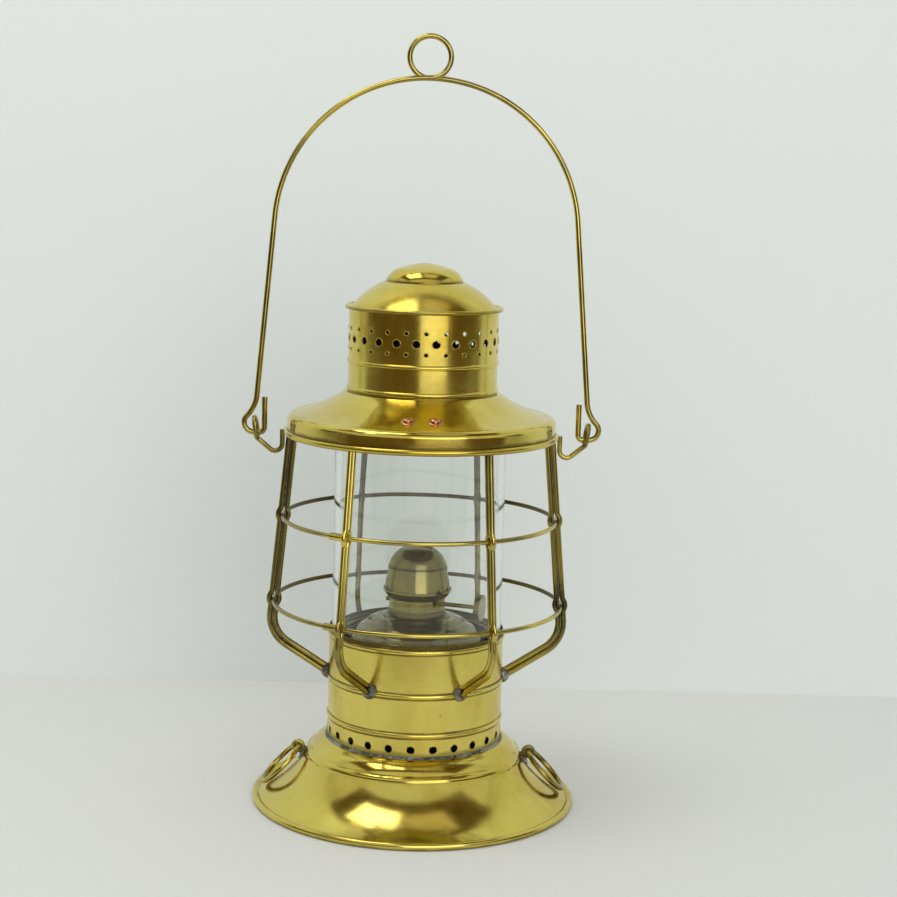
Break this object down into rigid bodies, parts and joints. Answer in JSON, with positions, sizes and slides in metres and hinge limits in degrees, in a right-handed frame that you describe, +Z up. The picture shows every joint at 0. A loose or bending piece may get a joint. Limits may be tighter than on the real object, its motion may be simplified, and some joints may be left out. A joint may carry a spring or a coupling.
{
  "type": "ship oil lamp",
  "caption": "Brass ship's oil lamp: flared base, glass globe in a wire guard, lift-off hood with pierced chimney, swinging bail, lashing rings and a wick burner.",
  "frame": {"origin": "on the floor, at the centre of the base rim", "axes": "+Z up along the lamp's axis, -Y the front, +X through the right bail ear"},
  "size_m": [0.2084, 0.19, 0.4452],
  "materials": {
    "sheet_brass": "worn polish",
    "frame_brass": "dull",
    "guard_brass": "tarnished",
    "bail_brass": "tarnished",
    "ear_brass": "dark",
    "solder": "dull grey solder",
    "copper": "copper, worn",
    "globe_glass": "clear, faintly green",
    "fount_brass": "dull",
    "burner_brass": "dull, sooted",
    "wick_cotton": "woven cotton"
  },
  "bodies": {
    "frame": {"base_skirt": "sheet_brass", "lower_body": "sheet_brass", "base_solder_seam": "solder", "globe_seat": "frame_brass", "globe": "globe_glass", "guard_outer_right": "guard_brass", "guard_outer_back_right": "guard_brass", "guard_outer_back_left": "guard_brass", "guard_outer_left": "guard_brass", "guard_outer_front_left": "guard_brass", "guard_outer_front_right": "guard_brass", "guard_inner_right": "guard_brass", "guard_inner_back_right": "guard_brass", "guard_inner_back_left": "guard_brass", "guard_inner_left": "guard_brass", "guard_inner_front_left": "guard_brass", "guard_inner_front_right": "guard_brass", "guard_solder": "solder", "upper_guard_ring": "guard_brass", "lower_guard_ring": "guard_brass", "upper_ring_ferrule": "guard_brass", "lower_ring_ferrule": "guard_brass", "frame_top_ring": "frame_brass", "left_bail_ear": "ear_brass", "right_bail_ear": "ear_brass", "left_ring_staple": "ear_brass", "right_ring_staple": "ear_brass", "staple_solder": "solder", "fount_lugs": "frame_brass"},
    "hood": {"hood": "sheet_brass", "globe_springs": "frame_brass", "hood_rivets": "copper", "rivet_washers": "copper", "chimney_drum": "sheet_brass", "chimney_cap": "sheet_brass", "cap_crown": "sheet_brass"},
    "bail": {"bail": "bail_brass"},
    "left_ring": {"left_lashing_ring": "bail_brass"},
    "right_ring": {"right_lashing_ring": "bail_brass"},
    "fount": {"fount": "fount_brass", "fount_bottom": "fount_brass", "fount_top": "fount_brass", "fount_collar": "burner_brass", "burner_body": "burner_brass", "burner_dome": "burner_brass", "wick_tube": "burner_brass"},
    "wick_drive": {"wick_shaft": "burner_brass", "wick_knob": "burner_brass"},
    "wick": {"wick": "wick_cotton"}
  },
  "joints": [
    {"name": "hood_lift", "type": "slide", "parent": "frame", "child": "hood", "axis": [0, 0, 1], "range_m": [0, 0.06]},
    {"name": "bail_swing", "type": "hinge", "parent": "frame", "child": "bail", "pos_m": [0, 0, 0.2164], "axis": [1, 0, 0], "range_deg": [-130, 130]},
    {"name": "left_ring_swing", "type": "hinge", "parent": "frame", "child": "left_ring", "pos_m": [-0.0683, 0, 0.029], "axis": [0, 1, 0], "range_deg": [0, 155]},
    {"name": "right_ring_swing", "type": "hinge", "parent": "frame", "child": "right_ring", "pos_m": [0.0683, 0, 0.029], "axis": [0, -1, 0], "range_deg": [0, 155]},
    {"name": "fount_twist", "type": "hinge", "parent": "frame", "child": "fount", "pos_m": [0, 0, 0.0378], "axis": [0, 0, 1], "range_deg": [0, 30]},
    {"name": "wick_turn", "type": "hinge", "parent": "fount", "child": "wick_drive", "pos_m": [-0.00185, -0.00507, 0.12005], "axis": [0.9397, -0.342, 0], "range_deg": [0, 100]},
    {"name": "wick_raise", "type": "slide", "parent": "fount", "child": "wick", "axis": [0, 0, 1], "range_m": [0, 0.00785]}
  ],
  "couplings": [
    {"joint": "wick_raise", "follows": "wick_turn", "m_per_rad": 0.0045}
  ]
}
